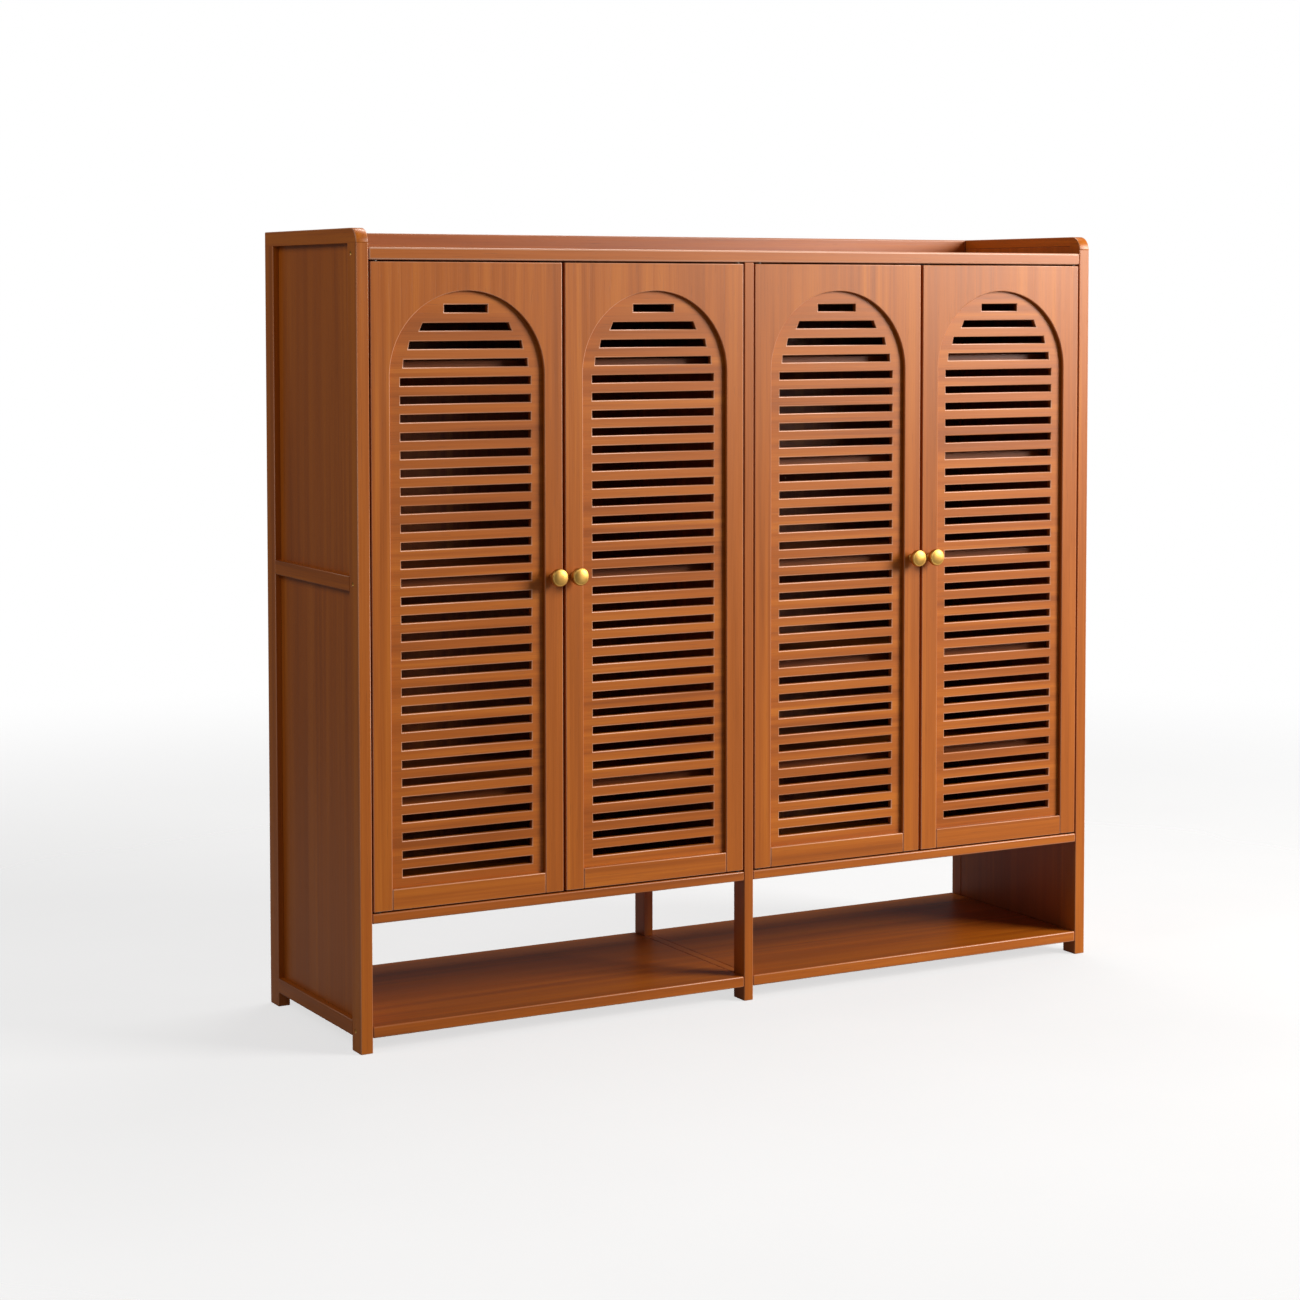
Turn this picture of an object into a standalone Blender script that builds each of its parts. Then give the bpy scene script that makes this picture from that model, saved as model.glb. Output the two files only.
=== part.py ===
"""Shoe cabinet: a bamboo case on posts, with four slatted arch doors over an open low shelf.

Metres, +Z up. The cabinet stands on Z = 0 and its doors face -Y. Every sub-part is one object. The fixed
pieces hang from the empty "cabinet", and each door hangs from an empty on its own hinge axis.
"""

import math

import bmesh
import bpy
from mathutils import Vector

# Overall sizes of the case, knobs left out.
WIDTH = 1.200
DEPTH = 0.330
HEIGHT = 1.100

# Clearances.
FIT = 0.0003                    # between pieces that are glued or screwed together
RUNNING = 0.0001                # radial, between a pivot pin and its hole
OVERSHOOT = 0.005               # how far a cutter passes the face that it opens

# Side frames.
POST_WIDTH = 0.0176
POST_DEPTH = 0.030
RAIL_HEIGHT = 0.020
MIDDLE_RAIL_CENTRE = 0.628
BOTTOM_RAIL_HEIGHT = 0.0208
SIDE_PANEL_RECESS = 0.009       # from the outer face
SIDE_PANEL_THICKNESS = 0.008
SIDE_PANEL_LAP = 0.006          # how far a panel sits behind its posts and rails
CORNER_SEGMENTS = 12

# Centre frame.
CENTRE_POST_WIDTH = 0.0146

# Boards.
FOOT_HEIGHT = 0.0202            # floor to the underside of the low shelf
LOW_SHELF_THICKNESS = 0.0155
OPEN_BAY_HEIGHT = 0.1386
CABINET_FLOOR_THICKNESS = 0.0132
TOP_THICKNESS = 0.0167
GALLERY_HEIGHT = 0.0254         # side tops and back rail above the top board
SHELF_THICKNESS = 0.012
SHELF_SETBACK = 0.035           # from the front of the case
BACK_PANEL_THICKNESS = 0.005
BACK_PANEL_INSET = 0.010        # from the back of the case
GROOVE_DEPTH = 0.004
SHELF_SPACES = 6
SHELF_LEVELS = {"left": (1, 3, 5), "right": (1, 2, 3, 4, 5)}

# Doors.
DOOR_THICKNESS = 0.018
DOOR_EDGE_GAP = 0.0022
DOOR_MEETING_GAP = 0.0043
DOOR_END_GAP = 0.0021
STILE_WIDTH = 0.0274
ARCH_HEAD = 0.0385              # top of the door to the top of the arch
DOOR_RAIL_HEIGHT = 0.0283
ARCH_LIP = 0.006                # thickness of the door in front of its slatted panel
PANEL_LAP = 0.008
SLAT_PANEL_THICKNESS = 0.009
ARCH_SEGMENTS = 40

# Slots in a door panel.
SLOT_HEIGHT = 0.0104
SLOT_PITCH = 0.0244
SLOT_TOP_BORDER = 0.0186
SLOT_BOTTOM_BORDER = 0.0130     # the least that is left under the last slot
SLOT_SIDE_BORDER = 0.0177
SLOT_ARC_BORDER = 0.0208
TOP_SLOT_HALF_WIDTH = 0.032

# Pivot pins, knobs and catches.
PIVOT_INSET = 0.008             # from the hinge edge of the door
PIVOT_DEPTH = 0.005             # behind the door's front face
PIN_RADIUS = 0.002
PIN_IN_BOARD = 0.008
PIN_IN_DOOR = 0.012
COLLAR_RADIUS = 0.0042
COLLAR_HEIGHT = 0.0014
KNOB_HEIGHT = 0.626
KNOB_PROJECTION = 0.022
KNOB_RADIUS = 0.0125
SPIGOT_RADIUS = 0.003
SPIGOT_LENGTH = 0.008
CATCH_LENGTH = 0.056
CATCH_DEPTH = 0.014
CATCH_HEIGHT = 0.013
CATCH_CHAMFER = 0.004
CATCH_GAP = 0.0015
KNOB_SEGMENTS = 24
PIN_SEGMENTS = 16

# Planes that follow from the sizes above.
FRONT = -DEPTH / 2
BACK = DEPTH / 2
SIDE_INNER = WIDTH / 2 - POST_WIDTH
CENTRE_HALF = CENTRE_POST_WIDTH / 2
LOW_SHELF_TOP = FOOT_HEIGHT + LOW_SHELF_THICKNESS
CABINET_FLOOR_BOTTOM = LOW_SHELF_TOP + OPEN_BAY_HEIGHT
CABINET_FLOOR_TOP = CABINET_FLOOR_BOTTOM + CABINET_FLOOR_THICKNESS
TOP_BOARD_TOP = HEIGHT - GALLERY_HEIGHT
TOP_BOARD_BOTTOM = TOP_BOARD_TOP - TOP_THICKNESS
BACK_PANEL_FRONT = BACK - BACK_PANEL_INSET - BACK_PANEL_THICKNESS

BAY_WIDTH = SIDE_INNER - CENTRE_HALF
DOOR_WIDTH = (BAY_WIDTH - 2 * DOOR_EDGE_GAP - DOOR_MEETING_GAP) / 2
DOOR_BOTTOM = CABINET_FLOOR_TOP + DOOR_END_GAP
DOOR_TOP = TOP_BOARD_BOTTOM - DOOR_END_GAP
DOOR_RAIL_TOP = DOOR_BOTTOM + DOOR_RAIL_HEIGHT
ARCH_RADIUS = DOOR_WIDTH / 2 - STILE_WIDTH
ARCH_TOP = DOOR_TOP - ARCH_HEAD
ARCH_SPRING = ARCH_TOP - ARCH_RADIUS


# ---------------------------------------------------------------- materials

def lacquered_wood(name, colour, roughness=0.38):
    """Make a wood finish."""
    return finish(name, colour, roughness, 0.0)


def finish(name, colour, roughness, metallic):
    """Make a Principled material with one colour."""
    material = bpy.data.materials.new(name)
    material.use_nodes = True
    shader = material.node_tree.nodes["Principled BSDF"]
    shader.inputs["Base Color"].default_value = (*colour, 1.0)
    shader.inputs["Roughness"].default_value = roughness
    shader.inputs["Metallic"].default_value = metallic
    material.diffuse_color = (*colour, 1.0)
    return material


# ---------------------------------------------------------------- meshes

def mesh_from_bmesh(name, bm):
    """Close a bmesh into a mesh with its faces pointing out."""
    bmesh.ops.recalc_face_normals(bm, faces=bm.faces)
    mesh = bpy.data.meshes.new(name)
    bm.to_mesh(mesh)
    bm.free()
    return mesh


def box_mesh(name, size):
    """Make a box around the origin."""
    bm = bmesh.new()
    bmesh.ops.create_cube(bm, size=1.0)
    bmesh.ops.scale(bm, vec=size, verts=bm.verts)
    return mesh_from_bmesh(name, bm)


def add_prism(bm, outline, start, end, axis):
    """Extrude an outline along X ("X": points are Y, Z) or along Y ("Y": points are X, Z)."""
    if axis == "X":
        points = [(start, u, v) for u, v in outline]
        direction = Vector((end - start, 0, 0))
    else:
        points = [(u, start, v) for u, v in outline]
        direction = Vector((0, end - start, 0))
    face = bm.faces.new([bm.verts.new(point) for point in points])
    extruded = bmesh.ops.extrude_face_region(bm, geom=[face])
    moved = [item for item in extruded["geom"] if isinstance(item, bmesh.types.BMVert)]
    bmesh.ops.translate(bm, vec=direction, verts=moved)
    bm.faces.ensure_lookup_table()


def prism_mesh(name, outlines, start, end, axis):
    """Make one mesh of one or more extruded outlines."""
    bm = bmesh.new()
    for outline in outlines:
        add_prism(bm, outline, start, end, axis)
    return mesh_from_bmesh(name, bm)


def turned_mesh(name, profile, segments):
    """Turn a profile of (radius, height) points about Z. It starts and ends on the axis."""
    bm = bmesh.new()
    verts = [bm.verts.new((radius, 0, height)) for radius, height in profile]
    edges = [bm.edges.new(pair) for pair in zip(verts, verts[1:])]
    bmesh.ops.spin(
        bm, geom=verts + edges, cent=(0, 0, 0), axis=(0, 0, 1),
        angle=2 * math.pi, steps=segments, use_merge=True,
    )
    bmesh.ops.remove_doubles(bm, verts=bm.verts, dist=1e-6)
    mesh = mesh_from_bmesh(name, bm)
    mesh.shade_smooth()
    mesh.set_sharp_from_angle(angle=math.radians(35))
    return mesh


def arc(centre_x, centre_z, radius, start, end, segments):
    """List the points of an arc, angles in radians from +X."""
    steps = [start + (end - start) * i / segments for i in range(segments + 1)]
    return [(centre_x + radius * math.cos(a), centre_z + radius * math.sin(a)) for a in steps]


# ---------------------------------------------------------------- objects

def add_empty(name, location, parent=None):
    """Add an empty that carries other objects."""
    empty = bpy.data.objects.new(name, None)
    empty.location = location
    empty.parent = parent
    bpy.context.scene.collection.objects.link(empty)
    return empty


def add_piece(name, mesh, location, parent, material):
    """Add one sub-part."""
    piece = bpy.data.objects.new(name, mesh)
    piece.location = location
    piece.parent = parent
    if material.name not in mesh.materials:
        mesh.materials.append(material)
    bpy.context.scene.collection.objects.link(piece)
    return piece


def add_cutter(name, mesh, location, parent):
    """Add a shape that only cuts others."""
    cutter = bpy.data.objects.new(name, mesh)
    cutter.location = location
    cutter.parent = parent
    cutter.hide_render = True
    cutter.display_type = "WIRE"
    bpy.context.scene.collection.objects.link(cutter)
    return cutter


def add_board(name, low, high, parent, material):
    """Add a box-shaped piece between two corners."""
    low, high = Vector(low), Vector(high)
    return add_piece(name, box_mesh(name, high - low), (low + high) / 2, parent, material)


def add_box_cutter(name, low, high, parent):
    """Add a box-shaped cutter between two corners."""
    low, high = Vector(low), Vector(high)
    return add_cutter(name, box_mesh(name, high - low), (low + high) / 2, parent)


def cut(piece, cutter):
    """Take a cutter's shape out of a piece."""
    modifier = piece.modifiers.new(cutter.name, "BOOLEAN")
    modifier.operation = "DIFFERENCE"
    modifier.solver = "EXACT"
    modifier.object = cutter


def house(board, low, high, hosts):
    """Cut the room for a board, with its fit all round, into the pieces that hold it."""
    room = Vector((FIT, FIT, FIT))
    cutter = add_box_cutter(f"{board.name}_groove", Vector(low) - room, Vector(high) + room, board.parent)
    for host in hosts:
        cut(host, cutter)


# ---------------------------------------------------------------- side frames

def top_rail_outline():
    """Outline of a side's top rail in Y and Z: square at the back, rounded over at the front."""
    bottom = HEIGHT - RAIL_HEIGHT + FIT
    radius = HEIGHT - bottom
    corner = arc(FRONT + radius, bottom, radius, math.pi / 2, math.pi, CORNER_SEGMENTS)
    return [(BACK, bottom), (BACK, HEIGHT)] + corner


def add_side_frame(side, sign, parent, frame_wood, panel_wood):
    """Build one side: two posts, three rails and two panels set in from the outer face."""
    outer = sign * WIDTH / 2
    inner = sign * SIDE_INNER
    x_low, x_high = sorted((outer, inner))
    rail_front = FRONT + POST_DEPTH + FIT
    rail_back = BACK - POST_DEPTH - FIT
    post_top = HEIGHT - RAIL_HEIGHT
    middle_low = MIDDLE_RAIL_CENTRE - RAIL_HEIGHT / 2
    middle_high = MIDDLE_RAIL_CENTRE + RAIL_HEIGHT / 2
    bottom_high = FOOT_HEIGHT + BOTTOM_RAIL_HEIGHT

    def member(name, y_low, y_high, z_low, z_high):
        return add_board(f"{side}_{name}", (x_low, y_low, z_low), (x_high, y_high, z_high), parent, frame_wood)

    front_post = member("front_post", FRONT, FRONT + POST_DEPTH, 0, post_top)
    back_post = member("back_post", BACK - POST_DEPTH, BACK, 0, post_top)
    middle_rail = member("middle_rail", rail_front, rail_back, middle_low, middle_high)
    bottom_rail = member("bottom_rail", rail_front, rail_back, FOOT_HEIGHT, bottom_high)
    rail_mesh = prism_mesh(f"{side}_top_rail", [top_rail_outline()], x_low, x_high, "X")
    top_rail = add_piece(f"{side}_top_rail", rail_mesh, (0, 0, 0), parent, frame_wood)

    panel_outer = outer - sign * SIDE_PANEL_RECESS
    panel_inner = panel_outer - sign * SIDE_PANEL_THICKNESS
    room_inner = inner - sign * OVERSHOOT
    spans = {
        "lower_panel": (bottom_high, middle_low, (bottom_rail, middle_rail)),
        "upper_panel": (middle_high, post_top, (middle_rail, top_rail)),
    }
    for name, (opening_low, opening_high, rails) in spans.items():
        y_low, y_high = FRONT + POST_DEPTH - SIDE_PANEL_LAP, BACK - POST_DEPTH + SIDE_PANEL_LAP
        z_low, z_high = opening_low - SIDE_PANEL_LAP, opening_high + SIDE_PANEL_LAP
        panel_x = sorted((panel_outer, panel_inner))
        panel = add_board(
            f"{side}_{name}", (panel_x[0], y_low, z_low), (panel_x[1], y_high, z_high), parent, panel_wood,
        )
        room_x = sorted((panel_outer, room_inner))
        house(panel, (room_x[0], y_low, z_low), (room_x[1], y_high, z_high), (front_post, back_post, *rails))


# ---------------------------------------------------------------- case

def add_centre_frame(parent, wood):
    """Build the centre: two posts to the floor, the partition between them and their low rail."""
    post_top = TOP_BOARD_BOTTOM - FIT
    between_front = FRONT + POST_DEPTH + FIT
    between_back = BACK - POST_DEPTH - FIT
    spans = {
        "centre_front_post": (FRONT, FRONT + POST_DEPTH, 0, post_top),
        "centre_back_post": (BACK - POST_DEPTH, BACK, 0, post_top),
        "centre_partition": (between_front, between_back, CABINET_FLOOR_BOTTOM, post_top),
        "centre_low_rail": (between_front, between_back, FOOT_HEIGHT, LOW_SHELF_TOP),
    }
    for name, (y_low, y_high, z_low, z_high) in spans.items():
        add_board(name, (-CENTRE_HALF, y_low, z_low), (CENTRE_HALF, y_high, z_high), parent, wood)


def bay_span(side):
    """X range of the boards in one bay."""
    span = (CENTRE_HALF + FIT, SIDE_INNER - FIT)
    return span if side == "right" else (-span[1], -span[0])


def add_top(parent, wood):
    """Build the top board and, behind it, the back rail that rises above it as a low gallery."""
    reach = SIDE_INNER - FIT
    rail_front = BACK - POST_DEPTH
    board = add_board(
        "top_board", (-reach, FRONT, TOP_BOARD_BOTTOM), (reach, rail_front - FIT, TOP_BOARD_TOP), parent, wood,
    )
    gallery = add_board(
        "gallery_rail", (-reach, rail_front, TOP_BOARD_BOTTOM), (reach, BACK, HEIGHT), parent, wood,
    )
    return board, gallery


def add_bay(side, parent, gallery, wood, shelf_wood, back_wood):
    """Build one bay's low shelf, cabinet floor, shelves and back panel, and give back its floor."""
    x_low, x_high = bay_span(side)
    add_board(f"{side}_low_shelf", (x_low, FRONT, FOOT_HEIGHT), (x_high, BACK, LOW_SHELF_TOP), parent, wood)
    floor = add_board(
        f"{side}_cabinet_floor", (x_low, FRONT, CABINET_FLOOR_BOTTOM), (x_high, BACK, CABINET_FLOOR_TOP),
        parent, wood,
    )

    panel_low = (x_low, BACK_PANEL_FRONT, CABINET_FLOOR_TOP - GROOVE_DEPTH)
    panel_high = (x_high, BACK_PANEL_FRONT + BACK_PANEL_THICKNESS, TOP_BOARD_BOTTOM + GROOVE_DEPTH)
    panel = add_board(f"{side}_back_panel", panel_low, panel_high, parent, back_wood)
    house(panel, panel_low, panel_high, (gallery, floor))

    inside_height = TOP_BOARD_BOTTOM - CABINET_FLOOR_TOP
    space = (inside_height - (SHELF_SPACES - 1) * SHELF_THICKNESS) / SHELF_SPACES
    for number, level in enumerate(SHELF_LEVELS[side], start=1):
        shelf_low = CABINET_FLOOR_TOP + level * space + (level - 1) * SHELF_THICKNESS
        add_board(
            f"{side}_shelf_{number}",
            (x_low, FRONT + SHELF_SETBACK, shelf_low),
            (x_high, BACK_PANEL_FRONT - FIT, shelf_low + SHELF_THICKNESS),
            parent, shelf_wood,
        )
    return floor


def catch_outline():
    """Side outline of a catch in Y and Z: a block with its low front edge chamfered."""
    top = TOP_BOARD_BOTTOM - FIT
    bottom = top - CATCH_HEIGHT
    front = FRONT + DOOR_THICKNESS + CATCH_GAP
    back = front + CATCH_DEPTH
    return [(front, top), (front, bottom + CATCH_CHAMFER), (front + CATCH_CHAMFER, bottom),
            (back, bottom), (back, top)]


def add_catch(side, parent, plastic):
    """Add the double magnetic catch behind the meeting edges of one pair of doors."""
    middle = sum(bay_span(side)) / 2
    mesh = prism_mesh(
        f"{side}_catch", [catch_outline()], middle - CATCH_LENGTH / 2, middle + CATCH_LENGTH / 2, "X",
    )
    add_piece(f"{side}_catch", mesh, (0, 0, 0), parent, plastic)


# ---------------------------------------------------------------- doors
# A door's own frame has X = 0 on its centre line, Y = 0 on its front face and Z from the floor.

def arched_outline(half_width, bottom):
    """Outline of an arched panel in X and Z, about the doors' spring line."""
    head = arc(0, ARCH_SPRING, half_width, 0, math.pi, ARCH_SEGMENTS)
    return [(-half_width, bottom), (half_width, bottom)] + head


def door_frame_mesh():
    """Stiles and arched head, cut from one board and open at the bottom."""
    half = DOOR_WIDTH / 2
    opening = arc(0, ARCH_SPRING, ARCH_RADIUS, 0, math.pi, ARCH_SEGMENTS)
    outline = [(-half, DOOR_BOTTOM), (-half, DOOR_TOP), (half, DOOR_TOP), (half, DOOR_BOTTOM),
               (ARCH_RADIUS, DOOR_BOTTOM), *opening, (-ARCH_RADIUS, DOOR_BOTTOM)]
    return prism_mesh("door_frame", [outline], 0, DOOR_THICKNESS, "Y")


def door_rail_mesh():
    """Bottom rail between the stiles."""
    reach = ARCH_RADIUS - FIT
    outline = [(-reach, DOOR_BOTTOM), (reach, DOOR_BOTTOM), (reach, DOOR_RAIL_TOP), (-reach, DOOR_RAIL_TOP)]
    return prism_mesh("door_bottom_rail", [outline], 0, DOOR_THICKNESS, "Y")


def panel_room_mesh():
    """Rebate round the back of the door's opening, which holds the slatted panel."""
    outline = arched_outline(ARCH_RADIUS + PANEL_LAP, DOOR_RAIL_TOP - PANEL_LAP)
    return prism_mesh("panel_room", [outline], ARCH_LIP, DOOR_THICKNESS + OVERSHOOT, "Y")


def slat_panel_mesh():
    """Arched panel before its slots are cut."""
    outline = arched_outline(ARCH_RADIUS + PANEL_LAP - FIT, DOOR_RAIL_TOP - PANEL_LAP + FIT)
    start = ARCH_LIP + FIT
    return prism_mesh("slat_panel", [outline], start, start + SLAT_PANEL_THICKNESS, "Y")


def slot_half_width(height):
    """Half the length of a slot's edge at one height."""
    rise = height - ARCH_SPRING
    straight = ARCH_RADIUS - SLOT_SIDE_BORDER
    if rise <= 0:
        return straight
    radius = ARCH_RADIUS - SLOT_ARC_BORDER
    curved = math.sqrt(max(radius ** 2 - rise ** 2, 0))
    return min(max(curved, TOP_SLOT_HALF_WIDTH), straight)


def slot_outlines():
    """Outlines of all slots, from the arch down: level strips whose ends follow the arch."""
    first_top = ARCH_TOP - SLOT_TOP_BORDER
    lowest = DOOR_RAIL_TOP + SLOT_BOTTOM_BORDER
    count = 1 + math.floor((first_top - SLOT_HEIGHT - lowest) / SLOT_PITCH)
    outlines = []
    for number in range(count):
        top = first_top - number * SLOT_PITCH
        bottom = top - SLOT_HEIGHT
        upper = slot_half_width(top)
        lower = slot_half_width(bottom) if number else upper
        outlines.append([(-lower, bottom), (lower, bottom), (upper, top), (-upper, top)])
    return outlines


def slots_mesh():
    """Cutter for all slots of one door panel."""
    start = ARCH_LIP - OVERSHOOT
    end = ARCH_LIP + SLAT_PANEL_THICKNESS + OVERSHOOT
    return prism_mesh("slots", slot_outlines(), start, end, "Y")


def knob_mesh():
    """Turned knob: spigot, flange, waist and domed head. Its height runs out from the door's face."""
    r, h = KNOB_RADIUS, KNOB_PROJECTION
    return turned_mesh("knob", [
        (0, -SPIGOT_LENGTH), (SPIGOT_RADIUS, -SPIGOT_LENGTH), (SPIGOT_RADIUS, FIT),
        (0.60 * r, FIT), (0.60 * r, 0.07 * h), (0.44 * r, 0.16 * h), (0.42 * r, 0.36 * h),
        (0.56 * r, 0.48 * h), (0.88 * r, 0.57 * h), (0.98 * r, 0.65 * h), (r, 0.74 * h),
        (0.97 * r, 0.83 * h), (0.86 * r, 0.91 * h), (0.62 * r, 0.97 * h), (0.32 * r, 0.994 * h), (0, h),
    ], KNOB_SEGMENTS)


def pin_mesh():
    """Pivot pin across the gap at one end of a door, with a collar in the gap. Z = 0 is mid-gap."""
    half_gap = DOOR_END_GAP / 2
    half_collar = COLLAR_HEIGHT / 2
    inside, outside = -half_gap - PIN_IN_DOOR, half_gap + PIN_IN_BOARD
    return turned_mesh("pivot_pin", [
        (0, inside), (PIN_RADIUS, inside), (PIN_RADIUS, -half_collar), (COLLAR_RADIUS, -half_collar),
        (COLLAR_RADIUS, half_collar), (PIN_RADIUS, half_collar), (PIN_RADIUS, outside), (0, outside),
    ], PIN_SEGMENTS)


def pin_hole_mesh():
    """Cutter for both ends of a pivot pin."""
    radius = PIN_RADIUS + RUNNING
    half_gap = DOOR_END_GAP / 2
    low, high = -half_gap - PIN_IN_DOOR - FIT, half_gap + PIN_IN_BOARD + FIT
    return turned_mesh("pin_hole", [(0, low), (radius, low), (radius, high), (0, high)], PIN_SEGMENTS)


def knob_hole_mesh():
    """Cutter for a knob's spigot."""
    radius = SPIGOT_RADIUS + FIT
    low, high = -SPIGOT_LENGTH - FIT, OVERSHOOT
    return turned_mesh("knob_hole", [(0, low), (radius, low), (radius, high), (0, high)], KNOB_SEGMENTS)


def door_meshes():
    """Make the meshes that all doors share."""
    return {
        "frame": door_frame_mesh(),
        "bottom_rail": door_rail_mesh(),
        "slat_panel": slat_panel_mesh(),
        "knob": knob_mesh(),
        "pin": pin_mesh(),
        "panel_room": panel_room_mesh(),
        "slots": slots_mesh(),
        "pin_hole": pin_hole_mesh(),
        "knob_hole": knob_hole_mesh(),
    }


def add_door(number, centre_x, hinge_side, meshes, parent, boards, woods, brass, steel):
    """Hang one door. hinge_side is -1 for a hinge on its left edge and 1 for its right edge."""
    name = f"door_{number}"
    pivot_x = centre_x + hinge_side * (DOOR_WIDTH / 2 - PIVOT_INSET)
    pivot = add_empty(f"{name}_pivot", (pivot_x, FRONT + PIVOT_DEPTH, 0), parent)
    door_origin = Vector((centre_x - pivot_x, -PIVOT_DEPTH, 0))

    def door_piece(part, material):
        return add_piece(f"{name}_{part}", meshes[part], door_origin, pivot, material)

    frame = door_piece("frame", woods["frame"])
    rail = door_piece("bottom_rail", woods["frame"])
    panel = door_piece("slat_panel", woods["slats"])
    panel_room = add_cutter(f"{name}_panel_room", meshes["panel_room"], door_origin, pivot)
    cut(frame, panel_room)
    cut(rail, panel_room)
    cut(panel, add_cutter(f"{name}_slots", meshes["slots"], door_origin, pivot))

    ends = {
        "top": ((TOP_BOARD_BOTTOM + DOOR_TOP) / 2, 0.0, boards["top"]),
        "bottom": ((CABINET_FLOOR_TOP + DOOR_BOTTOM) / 2, math.pi, boards["floor"]),
    }
    for end, (height, turn, board) in ends.items():
        pin = add_piece(f"{name}_{end}_pin", meshes["pin"], (0, 0, height), pivot, steel)
        pin.rotation_euler.x = turn
        hole = add_cutter(f"{name}_{end}_pin_hole", meshes["pin_hole"], (0, 0, height), pivot)
        hole.rotation_euler.x = turn
        cut(frame, hole)
        cut(board, hole)

    knob_x = door_origin.x - hinge_side * (DOOR_WIDTH - STILE_WIDTH) / 2
    knob_place = (knob_x, door_origin.y, KNOB_HEIGHT)
    knob = add_piece(f"{name}_knob", meshes["knob"], knob_place, pivot, brass)
    hole = add_cutter(f"{name}_knob_hole", meshes["knob_hole"], knob_place, pivot)
    knob.rotation_euler.x = math.pi / 2
    hole.rotation_euler.x = math.pi / 2
    cut(frame, hole)


# ---------------------------------------------------------------- assembly

def main():
    """Clear the scene and build the cabinet."""
    for old in list(bpy.data.objects):
        bpy.data.objects.remove(old, do_unlink=True)

    frame_wood = lacquered_wood("bamboo_frame", (0.50, 0.19, 0.065))
    panel_wood = lacquered_wood("bamboo_side_panel", (0.40, 0.14, 0.048))
    door_wood = lacquered_wood("bamboo_door", (0.55, 0.21, 0.075))
    slat_wood = lacquered_wood("bamboo_slats", (0.52, 0.20, 0.072))
    shelf_wood = lacquered_wood("bamboo_shelf", (0.42, 0.16, 0.058), roughness=0.45)
    brass = finish("brass", (0.86, 0.62, 0.22), 0.28, 1.0)
    steel = finish("steel", (0.62, 0.61, 0.59), 0.32, 1.0)
    plastic = finish("catch_plastic", (0.10, 0.055, 0.035), 0.5, 0.0)

    # The knobs stand out in front, so the case sits back by half of that and the whole is centred.
    cabinet = add_empty("cabinet", (0, KNOB_PROJECTION / 2, 0))

    add_side_frame("left", -1, cabinet, frame_wood, panel_wood)
    add_side_frame("right", 1, cabinet, frame_wood, panel_wood)
    add_centre_frame(cabinet, frame_wood)
    top_board, gallery = add_top(cabinet, frame_wood)

    meshes = door_meshes()
    woods = {"frame": door_wood, "slats": slat_wood}
    from_bay_middle = (DOOR_MEETING_GAP + DOOR_WIDTH) / 2
    door_number = 1
    for side in ("left", "right"):
        floor = add_bay(side, cabinet, gallery, frame_wood, shelf_wood, shelf_wood)
        add_catch(side, cabinet, plastic)
        middle = sum(bay_span(side)) / 2
        boards = {"top": top_board, "floor": floor}
        for hinge_side in (-1, 1):
            centre_x = middle + hinge_side * from_bay_middle
            add_door(door_number, centre_x, hinge_side, meshes, cabinet, boards, woods, brass, steel)
            door_number += 1


main()
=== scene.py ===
"""Shoe cabinet in lacquered bamboo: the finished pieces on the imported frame, with floor, lights and camera.

Metres, +Z up. The cabinet stands on Z = 0 and its doors face -Y.
"""

import logging
import math
import random
from dataclasses import dataclass, field, replace
from enum import Enum
from typing import Iterable, Sequence, Union

import bmesh
import bpy
from mathutils import Matrix, Vector


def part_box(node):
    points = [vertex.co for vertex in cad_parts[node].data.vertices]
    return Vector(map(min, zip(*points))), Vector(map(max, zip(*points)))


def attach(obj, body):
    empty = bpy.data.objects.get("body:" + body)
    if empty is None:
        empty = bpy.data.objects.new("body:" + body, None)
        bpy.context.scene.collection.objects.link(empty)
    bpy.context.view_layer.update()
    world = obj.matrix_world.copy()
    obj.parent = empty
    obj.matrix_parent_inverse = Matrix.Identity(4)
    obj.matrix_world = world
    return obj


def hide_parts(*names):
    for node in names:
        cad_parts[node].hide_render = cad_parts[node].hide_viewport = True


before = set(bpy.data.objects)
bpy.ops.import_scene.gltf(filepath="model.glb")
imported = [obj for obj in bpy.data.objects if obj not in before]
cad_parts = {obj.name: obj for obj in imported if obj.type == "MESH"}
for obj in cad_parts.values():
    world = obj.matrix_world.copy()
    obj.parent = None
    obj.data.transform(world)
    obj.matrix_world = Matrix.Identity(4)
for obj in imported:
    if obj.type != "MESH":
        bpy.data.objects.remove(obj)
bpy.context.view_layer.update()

LOG = logging.getLogger("shoe_cabinet")

Outline = list[tuple[float, float]]
Colour = tuple[float, float, float]
Number = Union[float, "Value"]

ARRIS = "arris"         # face attribute: 1 on an eased edge
GRAIN = "grain"         # point attribute: metres along the fibres, across them and through the piece

DOORS = (1, 2, 3, 4)
PIN_RADIUS = 0.002
PIN_ROOM = 0.0002       # round a pivot pin and past its ends
OVERSHOOT = 0.002       # how far a cutter for a hole passes the face that it opens
RIVET_SINK = 0.0001


# ---------------------------------------------------------------- named options

class Side(Enum):
    """The two ends of the cabinet."""

    LEFT = -1
    RIGHT = 1

    @property
    def word(self) -> str:
        """Name of this side as it stands in piece names."""
        return self.name.lower()


class Grain(Enum):
    """Axis that a piece's fibres run along, with the two across it."""

    X = (0, 1, 2)
    Y = (1, 0, 2)
    Z = (2, 0, 1)


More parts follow.
